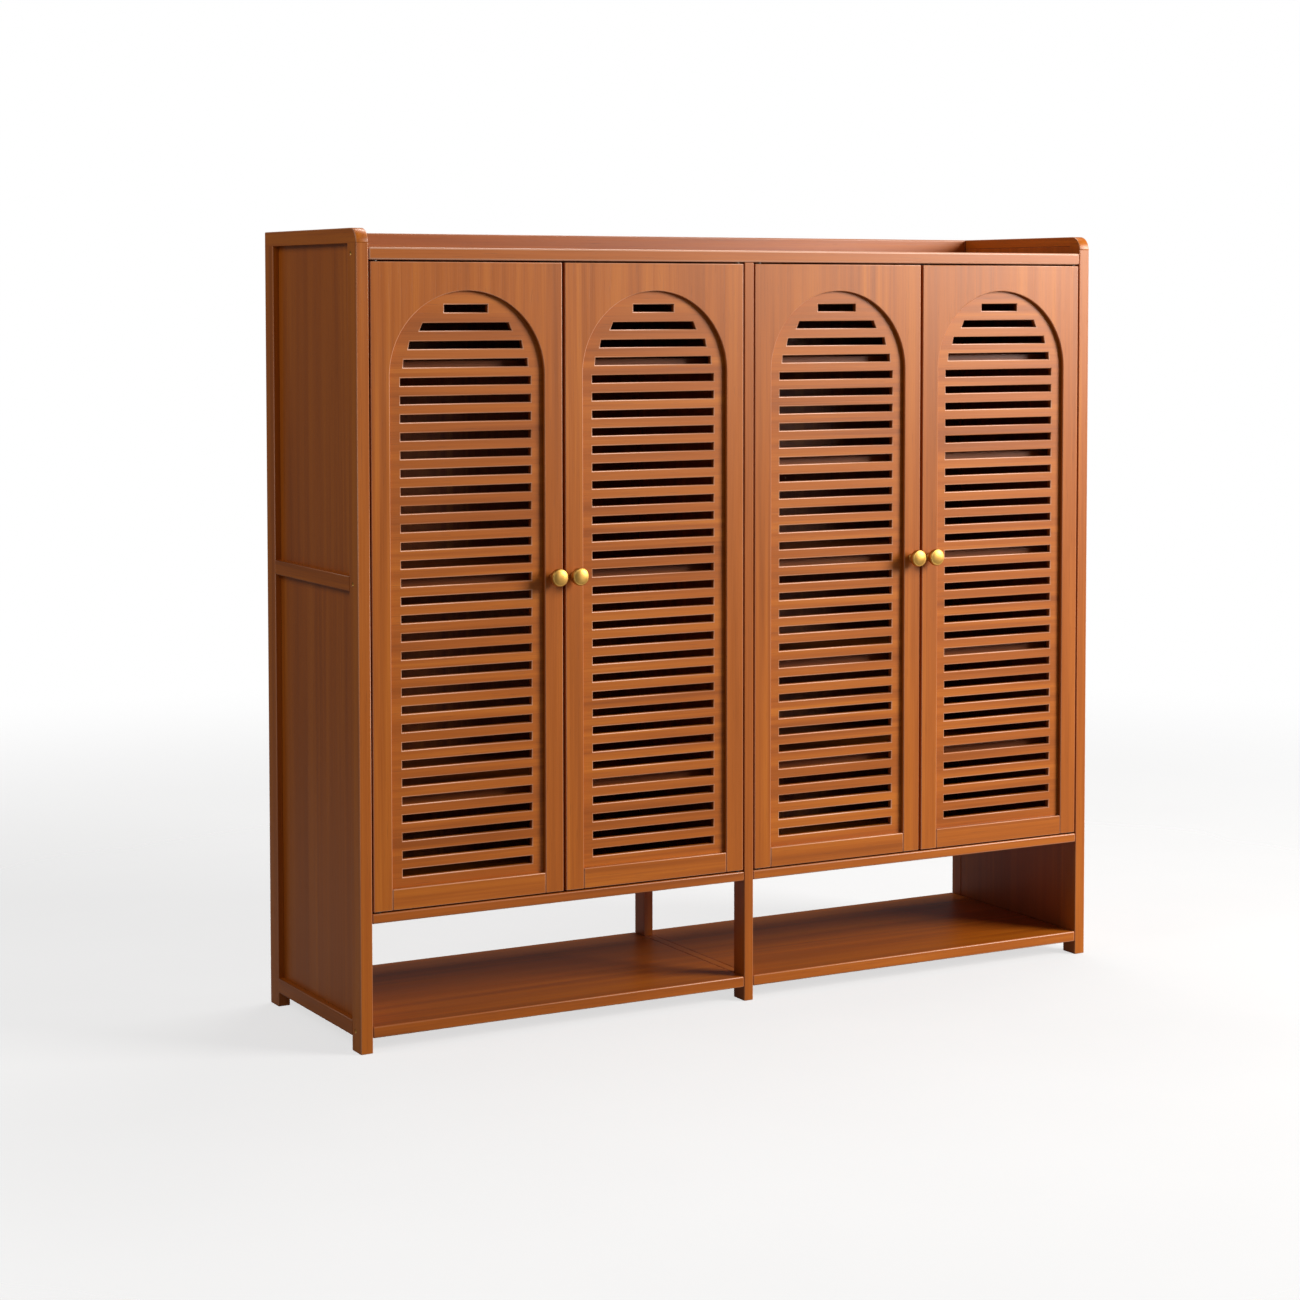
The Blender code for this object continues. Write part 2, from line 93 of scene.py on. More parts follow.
class Slot(Enum):
    """Finishes of the object, by their names in the record."""

    FRAME = "bamboo_frame"
    SIDE_PANEL = "bamboo_side_panel"
    DOOR = "bamboo_door"
    SLATS = "bamboo_slats"
    SHELF = "bamboo_shelf"
    BRASS = "brass"
    STEEL = "steel"
    PLASTIC = "catch_plastic"


# ---------------------------------------------------------------- shader trees

class Value:
    """A socket of a shader tree that can be used in sums."""

    def __init__(self, tree: "ShaderTree", socket: bpy.types.NodeSocket) -> None:
        """Keep the tree and the socket."""
        self.tree = tree
        self.socket = socket

    def _math(self, operation: str, first: Number, second: Number) -> "Value":
        """Add one Math node."""
        return self.tree.node("ShaderNodeMath", {"operation": operation}, {0: first, 1: second})

    def __add__(self, other: Number) -> "Value":
        """Sum."""
        return self._math("ADD", self, other)

    __radd__ = __add__

    def __sub__(self, other: Number) -> "Value":
        """Difference."""
        return self._math("SUBTRACT", self, other)

    def __rsub__(self, other: Number) -> "Value":
        """Difference from a number."""
        return self._math("SUBTRACT", other, self)

    def __mul__(self, other: Number) -> "Value":
        """Product."""
        return self._math("MULTIPLY", self, other)

    __rmul__ = __mul__

    def __truediv__(self, other: Number) -> "Value":
        """Quotient."""
        return self._math("DIVIDE", self, other)

    def floor(self) -> "Value":
        """Whole part."""
        return self._math("FLOOR", self, 0.0)

    def fraction(self) -> "Value":
        """Part after the point."""
        return self._math("FRACT", self, 0.0)

    def band(self, low: float, high: float) -> "Value":
        """Rise smoothly from 0 at low to 1 at high.

        Args:
            low: Value where the rise starts.
            high: Value where it ends. It may be below low, for a fall.

        Returns:
            The band as a value from 0 to 1.
        """
        settings = {"interpolation_type": "SMOOTHSTEP", "clamp": True}
        if high >= low:
            return self.tree.node(
                "ShaderNodeMapRange", settings, {"Value": self, "From Min": low, "From Max": high},
            )
        return self.tree.node(
            "ShaderNodeMapRange", settings,
            {"Value": self, "From Min": high, "From Max": low, "To Min": 1.0, "To Max": 0.0},
        )


class ShaderTree:
    """Nodes of one material, ending in one Principled shader."""

    def __init__(self, name: str) -> None:
        """Make the material with a bare Principled shader.

        Args:
            name: Name of the material.
        """
        self.material = bpy.data.materials.new(name)
        self.material.use_nodes = True
        self.nodes = self.material.node_tree.nodes
        self.links = self.material.node_tree.links
        self.shader = self.nodes["Principled BSDF"]

    def node(self, kind: str, settings: dict, values: dict, output: Union[int, str] = 0) -> Value:
        """Add one node.

        Args:
            kind: Blender's name of the node type.
            settings: Properties of the node, set first.
            values: Number, colour or link for each input, by name or place.
            output: Output that is given back.

        Returns:
            That output.
        """
        made = self.nodes.new(kind)
        for key, setting in settings.items():
            setattr(made, key, setting)
        for key, value in values.items():
            self._feed(made.inputs[key], value)
        return Value(self, made.outputs[output])

    def _feed(self, socket: bpy.types.NodeSocket, value: object) -> None:
        """Link a socket to a value, or set it.

        Args:
            socket: Input of a node.
            value: What it takes.
        """
        if isinstance(value, Value):
            self.links.new(value.socket, socket)
        else:
            socket.default_value = value

    def set(self, **values: object) -> None:
        """Set or link inputs of the Principled shader.

        Args:
            **values: Number, colour or link for each input, with its name's spaces as underlines.
        """
        for key, value in values.items():
            name = key.replace("_", " ")
            self._feed(self.shader.inputs[name], value)

    def attribute(self, name: str, output: str) -> Value:
        """Read an attribute of the mesh."""
        return self.node("ShaderNodeAttribute", {"attribute_name": name}, {}, output)

    def vector(self, x: Number, y: Number, z: Number) -> Value:
        """Put three numbers together."""
        return self.node("ShaderNodeCombineXYZ", {}, {"X": x, "Y": y, "Z": z})

    def split(self, vector: Value) -> tuple[Value, Value, Value]:
        """Take a vector apart.

        Args:
            vector: Vector to split.

        Returns:
            Its three numbers.
        """
        first = self.node("ShaderNodeSeparateXYZ", {}, {"Vector": vector})
        sockets = first.socket.node.outputs
        return first, Value(self, sockets["Y"]), Value(self, sockets["Z"])

    def noise(self, place: Value, scale: float = 1.0, detail: float = 2.0, roughness: float = 0.5) -> Value:
        """Add a noise pattern.

        Args:
            place: Where the pattern is read.
            scale: Repeats in each metre of place.
            detail: Octaves beyond the first.
            roughness: Strength of each octave against the one before.

        Returns:
            The pattern, from about 0.3 to 0.7.
        """
        return self.node(
            "ShaderNodeTexNoise", {"noise_dimensions": "3D"},
            {"Vector": place, "Scale": scale, "Detail": detail, "Roughness": roughness}, "Fac",
        )

    def ramp(self, value: Value, stops: Sequence[tuple[float, Colour]]) -> Value:
        """Turn a value into a colour.

        Args:
            value: Place on the ramp.
            stops: Place and colour of each stop, in order.

        Returns:
            The colour.
        """
        ramp = self.node("ShaderNodeValToRGB", {}, {"Fac": value}, "Color")
        elements = ramp.socket.node.color_ramp.elements
        while len(elements) < len(stops):
            elements.new(1.0)
        for element, (place, colour) in zip(elements, stops):
            element.position = place
            element.color = (*colour, 1.0)
        return ramp

    def mix(self, share: Number, first: object, second: object) -> Value:
        """Mix two colours.

        Args:
            share: How much of the second colour, from 0 to 1.
            first: Colour at a share of 0.
            second: Colour that is blended in.

        Returns:
            The mixed colour.
        """
        mixer = self.nodes.new("ShaderNodeMix")
        mixer.data_type = "RGBA"
        colours = [socket for socket in mixer.inputs if socket.type == "RGBA"]
        self._feed(mixer.inputs["Factor"], share)
        for socket, colour in zip(colours, (first, second)):
            self._feed(socket, colour if isinstance(colour, Value) else (*colour, 1.0))
        result = next(socket for socket in mixer.outputs if socket.type == "RGBA")
        return Value(self, result)

    def bump(self, height: Value, strength: float, distance: float) -> Value:
        """Turn a height into a bumped normal."""
        return self.node("ShaderNodeBump", {}, {"Height": height, "Strength": strength, "Distance": distance})


# ---------------------------------------------------------------- finishes

@dataclass(frozen=True)
class Bamboo:
    """Strip-laminated bamboo, stained and lacquered."""

    deep: Colour
    middle: Colour
    pale: Colour
    strip: float = 0.0165           # width of one laminated strip
    contrast: float = 1.0
    wear_and_highlight: float = 0.34              # share of paler colour on eased edges: partly bared lacquer, partly a painted highlight
    roughness: float = 0.41
    coat: float = 0.20
    coat_roughness: float = 0.30

    def make(self, name: str) -> bpy.types.Material:
        """Make the material.

        Args:
            name: Name of the material.

        Returns:
            The material.
        """
        tree = ShaderTree(name)
        place = tree.attribute(GRAIN, "Vector")
        along, across, through = tree.split(place)
        lane = across + through

        drift = tree.noise(tree.vector(along * 1.6, lane * 9.0, 0.0), detail=1.0)
        strips = (lane + (drift - 0.5) * 0.004) / self.strip
        tone = tree.node("ShaderNodeTexWhiteNoise", {"noise_dimensions": "1D"}, {"W": strips.floor()})
        within = strips.fraction()
        joint = within.band(0.04, 0.0) + within.band(0.96, 1.0)

        streak = tree.noise(tree.vector(along * 1.9, across * 105.0, through * 105.0), 1.0, 3.0, 0.52)
        fibre = tree.noise(tree.vector(along * 9.0, across * 560.0, through * 560.0), 1.0, 3.0, 0.55)
        cloud = tree.noise(tree.vector(along * 1.3, across * 30.0, through * 30.0), 1.0, 2.0, 0.5)
        fleck = tree.noise(tree.vector(along * 28.0, across * 950.0, through * 950.0), 1.0, 1.0)

        # Streaks stand out in some patches and fade in others.
        patch = tree.noise(tree.vector(along * 0.8, lane * 11.0, 3.0), detail=1.0).band(0.38, 0.66)
        shade = (
            (tone - 0.5) * (0.16 * self.contrast)
            + (streak - 0.5) * (patch * 1.15 + 0.35) * self.contrast
            + (fibre - 0.5) * (0.34 * self.contrast)
            + (cloud - 0.5) * (0.80 * self.contrast)
            + 0.5
        )
        colour = tree.ramp(shade, [(0.16, self.deep), (0.5, self.middle), (0.84, self.pale)])
        pores = fleck.band(0.66, 0.74)
        marks = pores * 0.25 + joint * 0.08
        colour = tree.mix(marks, colour, tuple(0.45 * part for part in self.deep))
        # Eased edges are mixed toward a pale colour: partly bared lacquer, partly a painted highlight along
        # the arrises.
        wear_and_highlight = tree.attribute(ARRIS, "Fac") * ((cloud - 0.5) * 1.2 + self.wear_and_highlight)
        colour = tree.mix(wear_and_highlight, colour, tuple(part + (1.0 - part) * 0.22 for part in self.pale))

        rough = (fibre - 0.5) * 0.16 + (streak - 0.5) * 0.10 + self.roughness
        height = fibre * 0.6 + streak * 0.5 - joint * 0.35 - pores * 0.4
        tree.set(
            Base_Color=colour, Roughness=rough, Normal=tree.bump(height, 0.22, 0.0004),
            Coat_Weight=self.coat, Coat_Roughness=self.coat_roughness,
        )
        return tree.material


@dataclass(frozen=True)
class Metal:
    """Turned or pressed metal with fine working marks."""

    dark: Colour
    light: Colour
    roughness: float
    marks: float = 900.0            # working marks in each metre

    def make(self, name: str) -> bpy.types.Material:
        """Make the material.

        Args:
            name: Name of the material.

        Returns:
            The material.
        """
        tree = ShaderTree(name)
        place = tree.attribute(GRAIN, "Vector")
        along, across, through = tree.split(place)
        lines = tree.noise(
            tree.vector(along * self.marks, across * 120.0, through * 120.0), 1.0, 3.0, 0.6,
        )
        cloud = tree.noise(place, 60.0, 3.0)
        tone = (lines - 0.5) * 0.8 + (cloud - 0.5) * 1.2 + 0.5
        colour = tree.ramp(tone, [(0.15, self.dark), (0.85, self.light)])
        rough = (lines - 0.5) * 0.18 + (cloud - 0.5) * 0.20 + self.roughness
        tree.set(
            Base_Color=colour, Metallic=1.0, Roughness=rough, Normal=tree.bump(lines, 0.12, 0.0001),
        )
        return tree.material


@dataclass(frozen=True)
class Moulding:
    """Moulded plastic with a fine texture."""

    dark: Colour
    light: Colour
    roughness: float = 0.5

    def make(self, name: str) -> bpy.types.Material:
        """Make the material.

        Args:
            name: Name of the material.

        Returns:
            The material.
        """
        tree = ShaderTree(name)
        place = tree.attribute(GRAIN, "Vector")
        cloud = tree.noise(place, 90.0, 3.0)
        stipple = tree.noise(place, 1800.0, 2.0)
        colour = tree.ramp((cloud - 0.5) * 1.5 + 0.5, [(0.1, self.dark), (0.9, self.light)])
        tree.set(
            Base_Color=colour, Roughness=(stipple - 0.5) * 0.25 + self.roughness,
            Normal=tree.bump(stipple, 0.3, 0.0001),
        )
        return tree.material


# The eased-edge shares below set how pale the arrises are painted: partly bared lacquer, partly a painted
# highlight.
FINISHES = {
    Slot.FRAME: Bamboo(
        deep=(0.364, 0.093, 0.0030), middle=(0.480, 0.128, 0.0042), pale=(0.590, 0.179, 0.0080),
    ),
    Slot.SIDE_PANEL: Bamboo(
        deep=(0.352, 0.087, 0.0045), middle=(0.460, 0.122, 0.0070), pale=(0.570, 0.170, 0.0120),
        contrast=0.75,
    ),
    Slot.DOOR: Bamboo(
        deep=(0.374, 0.096, 0.0030), middle=(0.490, 0.133, 0.0044), pale=(0.600, 0.185, 0.0084), wear_and_highlight=0.5,
    ),
    Slot.SLATS: Bamboo(
        deep=(0.369, 0.094, 0.0030), middle=(0.485, 0.131, 0.0043), pale=(0.595, 0.182, 0.0082),
        strip=0.0122, wear_and_highlight=0.55,
    ),
    Slot.SHELF: Bamboo(
        deep=(0.250, 0.060, 0.0045), middle=(0.350, 0.092, 0.0070), pale=(0.440, 0.134, 0.0115), coat=0.05,
    ),
    Slot.BRASS: Metal(dark=(0.62, 0.35, 0.085), light=(0.79, 0.50, 0.150), roughness=0.47),
    Slot.STEEL: Metal(dark=(0.060, 0.050, 0.044), light=(0.125, 0.105, 0.092), roughness=0.48),
    Slot.PLASTIC: Moulding(dark=(0.055, 0.028, 0.018), light=(0.11, 0.058, 0.036)),
}


# ---------------------------------------------------------------- outlines

def shifted(outline: Outline, distance: float) -> Outline:
    """Move an outline into the material, which lies on its left.

    Args:
        outline: Closed outline.
        distance: How far each edge moves.

    Returns:
        The moved outline, with as many points.
    """
    moved = []
    count = len(outline)
    for i, point in enumerate(outline):
        here = Vector(point)
        before = (here - Vector(outline[i - 1])).normalized()
        after = (Vector(outline[(i + 1) % count]) - here).normalized()
        mitre = Vector((-before.y - after.y, before.x + after.x))
        here += mitre * (2 * distance / mitre.length_squared)
        moved.append((here.x, here.y))
    return moved


def arc(centre: tuple[float, float], radius: float, start: float, end: float, steps: int) -> Outline:
    """List the points of an arc.

    Args:
        centre: Centre of the arc.
        radius: Radius of the arc.
        start: First angle, in degrees from the first axis.
        end: Last angle.
        steps: Number of straight pieces.

    Returns:
        The points, both ends among them.
    """
    angles = [math.radians(start + (end - start) * i / steps) for i in range(steps + 1)]
    return [(centre[0] + radius * math.cos(a), centre[1] + radius * math.sin(a)) for a in angles]


def smoothed(profile: Outline, steps: int) -> Outline:
    """Run a smooth curve through the points of an open profile.

    Args:
        profile: Points that the curve passes.
        steps: Pieces between two points.

    Returns:
        The finer profile.
    """
    points = [Vector(p) for p in (profile[0], *profile, profile[-1])]
    fine = []
    for a, b, c, d in zip(points, points[1:], points[2:], points[3:]):
        for i in range(steps):
            t = i / steps
            fine.append(0.5 * (2 * b + (c - a) * t + (2 * a - 5 * b + 4 * c - d) * t ** 2
                               + (3 * b - a - 3 * c + d) * t ** 3))
    fine.append(points[-1])
    return [(max(p.x, 0.0), p.y) for p in fine]


# ---------------------------------------------------------------- solids

class Solid:
    """A closed solid that is worked in the row frame. Each face knows if it is an eased edge."""

    SHARP = math.radians(40)
    CURVED = math.radians(20)

    def __init__(self) -> None:
        """Start with nothing."""
        self.bm = bmesh.new()
        self.arris = self.bm.faces.layers.float.new(ARRIS)

    @classmethod
    def block(
        cls, low: Sequence[float], high: Sequence[float], ease: float = 0.0, steps: int = 3,
    ) -> "Solid":
        """Cut a block with eased edges.

        Args:
            low: Lowest corner.
            high: Highest corner.
            ease: Radius of its edges.
            steps: Facets round an edge.

        Returns:
            The block.
        """
        solid = cls()
        low, high = Vector(low), Vector(high)
        bmesh.ops.create_cube(solid.bm, size=1.0)
        bmesh.ops.scale(solid.bm, vec=high - low, verts=solid.bm.verts)
        bmesh.ops.translate(solid.bm, vec=(low + high) / 2, verts=solid.bm.verts)
        if ease:
            made = bmesh.ops.bevel(
                solid.bm, geom=list(solid.bm.edges), offset=ease, offset_type="OFFSET",
                segments=steps, profile=0.5, affect="EDGES",
            )
            solid._mark(made["faces"])
        return solid

    @classmethod
    def prism(
        cls, outlines: Sequence[Outline], axis: Grain, start: float, end: float,
        ease: tuple[float, float] = (0.0, 0.0), steps: int = 3,
    ) -> "Solid":
        """Extrude an outline with holes, its rims rounded over.

        Args:
            outlines: Outline, anticlockwise, then its holes, clockwise, on the two axes across.
            axis: Axis of the extrusion.
            start: Place of the first face on that axis.
            end: Place of the last face.
            ease: Radius of the rims at the start and at the end.
            steps: Facets round a rim.

        Returns:
            The solid.
        """
        solid = cls()
        path, rounded = cls._rim_path(start, end, ease, steps)
        along, first, second = axis.value
        caps = ([], [])
        for outline in outlines:
            rings = []
            for place, inset in path:
                ring = []
                for point in shifted(outline, inset) if inset else outline:
                    spot = [0.0, 0.0, 0.0]
                    spot[along], spot[first], spot[second] = place, point[0], point[1]
                    ring.append(solid.bm.verts.new(spot))
                rings.append(ring)
            for number, (near, far) in enumerate(zip(rings, rings[1:])):
                made = []
                for i in range(len(near)):
                    j = (i + 1) % len(near)
                    made.append(solid.bm.faces.new((near[i], near[j], far[j], far[i])))
                if rounded[number]:
                    solid._mark(made)
            for cap, ring in ((caps[0], rings[0]), (caps[1], rings[-1])):
                cap.append(ring)
        for cap in caps:
            solid._close(cap)
        return solid

    @staticmethod
    def _rim_path(start: float, end: float, ease: tuple[float, float], steps: int) -> tuple[list, list]:
        """List the rings of a prism.

        Args:
            start: Place of the first face.
            end: Place of the last face.
            ease: Radius of the rims at the start and at the end.
            steps: Facets round a rim.

        Returns:
            Place and inset of each ring, and which bands between the rings are rounded.
        """
        near, far = [], []
        for radius, rings, face, inward in ((ease[0], near, start, 1), (ease[1], far, end, -1)):
            if not radius:
                rings.append((face, 0.0))
                continue
            for i in range(steps + 1):
                angle = math.pi / 2 * i / steps
                rings.append((
                    face + inward * radius * (1 - math.cos(angle)), radius * (1 - math.sin(angle)),
                ))
        rounded = [True] * (len(near) - 1) + [False] + [True] * (len(far) - 1)
        return near + far[::-1], rounded

    def _close(self, rings: Sequence[Sequence[bmesh.types.BMVert]]) -> None:
        """Close one end of a prism: one face, or a filled one where it has holes.

        Args:
            rings: Points of the outline and of each hole.
        """
        if len(rings) == 1:
            self.bm.faces.new(rings[0])
            return
        edges = []
        for ring in rings:
            for i in range(len(ring)):
                edges.append(self.bm.edges.get((ring[i], ring[(i + 1) % len(ring)])))
        bmesh.ops.triangle_fill(self.bm, use_beauty=True, use_dissolve=False, edges=edges)

    @classmethod
    def turned(cls, profile: Outline, segments: int, place: Matrix) -> "Solid":
        """Turn a profile on a lathe.

        Args:
            profile: Radius and height of each point. It starts and ends on the axis.
            segments: Facets round the axis.
            place: Turns and moves the solid from the Z axis to its place.

        Returns:
            The solid.
        """
        solid = cls()
        verts = [solid.bm.verts.new((radius, 0, height)) for radius, height in profile]
        edges = [solid.bm.edges.new(pair) for pair in zip(verts, verts[1:])]
        bmesh.ops.spin(
            solid.bm, geom=verts + edges, cent=(0, 0, 0), axis=(0, 0, 1),
            angle=2 * math.pi, steps=segments, use_merge=True,
        )
        bmesh.ops.remove_doubles(solid.bm, verts=solid.bm.verts, dist=1e-7)
        bmesh.ops.transform(solid.bm, matrix=place, verts=solid.bm.verts)
        for face in solid.bm.faces:
            face.smooth = True
        return solid

    def _mark(self, faces: Iterable[bmesh.types.BMFace]) -> None:
        """Note that these faces are an eased edge.

        Args:
            faces: Faces of the edge.
        """
        for face in faces:
            face[self.arris] = 1.0
            face.smooth = True

    def ease(self, radius: float, steps: int = 3, flush: Sequence[tuple[int, float]] = ()) -> "Solid":
        """Round the outside corners, except those that close against a neighbour.

        Args:
            radius: Radius of the edges.
            steps: Facets round an edge.
            flush: Axis and place of each plane whose edges stay square.

        Returns:
            The same solid.
        """
        bmesh.ops.recalc_face_normals(self.bm, faces=self.bm.faces)
        corners = [
            edge for edge in self.bm.edges
            if edge.is_manifold and edge.is_convex and edge.calc_face_angle() > self.SHARP
            and not any(
                all(abs(vert.co[axis] - place) < 1e-6 for vert in edge.verts) for axis, place in flush
            )
        ]
        made = bmesh.ops.bevel(
            self.bm, geom=corners, offset=radius, offset_type="OFFSET", segments=steps,
            profile=0.5, affect="EDGES",
        )
        self._mark(made["faces"])
        return self

    def join(self, other: "Solid") -> "Solid":
        """Take another solid into this piece.

        Args:
            other: The other solid, which is spent.

        Returns:
            The same solid.
        """
        spare = other.mesh("spare")
        self.bm.from_mesh(spare)
        bpy.data.meshes.remove(spare)
        return self

    def carve(self, *cutters: "Solid") -> "Solid":
        """Take other solids out of this one.

        Args:
            *cutters: What is cut away.

        Returns:
            The same solid.
        """
        holder = self._stand_in(self)
        tools = [self._stand_in(cutter) for cutter in cutters]
        for tool in tools:
            modifier = holder.modifiers.new("cut", "BOOLEAN")
            modifier.operation = "DIFFERENCE"
            modifier.solver = "EXACT"
            modifier.object = tool
        bpy.context.view_layer.update()
        depsgraph = bpy.context.evaluated_depsgraph_get()
        result = bpy.data.meshes.new_from_object(holder.evaluated_get(depsgraph))
        self.bm = bmesh.new()
        self.bm.from_mesh(result)
        self.arris = self.bm.faces.layers.float.get(ARRIS)
        bpy.data.meshes.remove(result)
        for spent in (holder, *tools):
            mesh = spent.data
            bpy.data.objects.remove(spent)
            bpy.data.meshes.remove(mesh)
        return self

    @staticmethod
    def _stand_in(solid: "Solid") -> bpy.types.Object:
        """Make a short-lived object of a solid.

        Args:
            solid: The solid, which is spent.

        Returns:
            The object.
        """
        made = bpy.data.objects.new("stand_in", solid.mesh("stand_in"))
        bpy.context.scene.collection.objects.link(made)
        return made

    def mesh(self, name: str) -> bpy.types.Mesh:
        """Finish the solid as a mesh. The solid is spent.

        Args:
            name: Name of the mesh.

        Returns:
            The mesh.
        """
        bmesh.ops.recalc_face_normals(self.bm, faces=self.bm.faces)
        for edge in self.bm.edges:
            if not edge.is_manifold:
                continue
            near, far = edge.link_faces
            if 0.001 < edge.calc_face_angle() < self.CURVED and not near[self.arris] and not far[self.arris]:
                near.smooth = far.smooth = True
        mesh = bpy.data.meshes.new(name)
        self.bm.to_mesh(mesh)
        self.bm.free()
        return mesh


# ---------------------------------------------------------------- workshop

@dataclass
class Workshop:
    """Dresses worked solids and hangs them on the frame."""

    materials: dict[Slot, bpy.types.Material]
    chance: random.Random = field(default_factory=lambda: random.Random(47))
    carcass: str = "carcass"

    def fit(
        self, solid: Solid, name: str, slot: Slot, grain: Grain,
        body: str = "", stands_for: Sequence[str] = (),
    ) -> bpy.types.Object:
        """Make a piece of a solid.

        Args:
            solid: The worked solid, in the row frame.
            name: Name of the piece.
            slot: Its finish.
            grain: Axis that its fibres or working marks follow.
            body: Body that it rides on. Empty means the carcass.
            stands_for: CAD nodes that it replaces.

        Returns:
            The piece.
        """
        mesh = solid.mesh(name)
        self.lay_grain(mesh, grain)
        mesh.materials.clear()
        mesh.materials.append(self.materials[slot])
        piece = bpy.data.objects.new(name, mesh)
        bpy.context.scene.collection.objects.link(piece)
        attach(piece, body or self.carcass)
        if stands_for:
            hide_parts(*stands_for)
        LOG.info("%s: %d faces, %s", name, len(mesh.polygons), slot.value)
        return piece

    def dress(self, node: str, slot: Slot, grain: Grain) -> None:
        """Give a CAD node that stays in view its finish.

        Args:
            node: Name of the node.
            slot: Its finish.
            grain: Axis that its working marks follow.
        """
        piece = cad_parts[node]
        self.lay_grain(piece.data, grain)
        piece.data.materials.clear()
        piece.data.materials.append(self.materials[slot])
        LOG.info("%s: carried over, %s", node, slot.value)

    def lay_grain(self, mesh: bpy.types.Mesh, grain: Grain) -> None:
        """Write where each point lies in the stock that the piece was cut from.

        Args:
            mesh: Mesh of the piece.
            grain: Axis that its fibres follow.
        """
        shift = [self.chance.uniform(0.0, 8.0) for _ in range(3)]
        places = mesh.attributes.new(GRAIN, "FLOAT_VECTOR", "POINT")
        for vertex, place in zip(mesh.vertices, places.data):
            place.vector = [vertex.co[axis] + by for axis, by in zip(grain.value, shift)]


def box_of(node: str) -> tuple[Vector, Vector]:
    """Corners of a CAD node."""
    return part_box(node)


def socket(depth: float, height: float, radius: float, place: Matrix, segments: int = 32) -> Solid:
    """Cutter for a round hole.

    Args:
        depth: How far it goes below Z = 0.
        height: How far it goes above.
        radius: Radius of the hole.
        place: Turns and moves the cutter to its place.
        segments: Facets round the hole.

    Returns:
        The cutter.
    """
    profile = [(0, -depth), (radius, -depth), (radius, height), (0, height)]
    return Solid.turned(profile, segments, place)


def pin_holes(end: str, low: Vector, high: Vector) -> list[Solid]:
    """Cutters for the pivot pins that enter one board.

    Args:
        end: Which end of the doors the pins are on.
        low: Lowest corner of the board.
        high: Its highest corner.

    Returns:
        A cutter for each pin.
    """
    holes = []
    for number in DOORS:
        pin_low, pin_high = box_of(f"door_{number}_{end}_pin")
        middle = (pin_low + pin_high) / 2
        if low.x < middle.x < high.x:
            reach = (pin_high.z - pin_low.z) / 2 + PIN_ROOM
            holes.append(socket(reach, reach, PIN_RADIUS + PIN_ROOM, Matrix.Translation(middle)))
    return holes


# ---------------------------------------------------------------- sub-assemblies

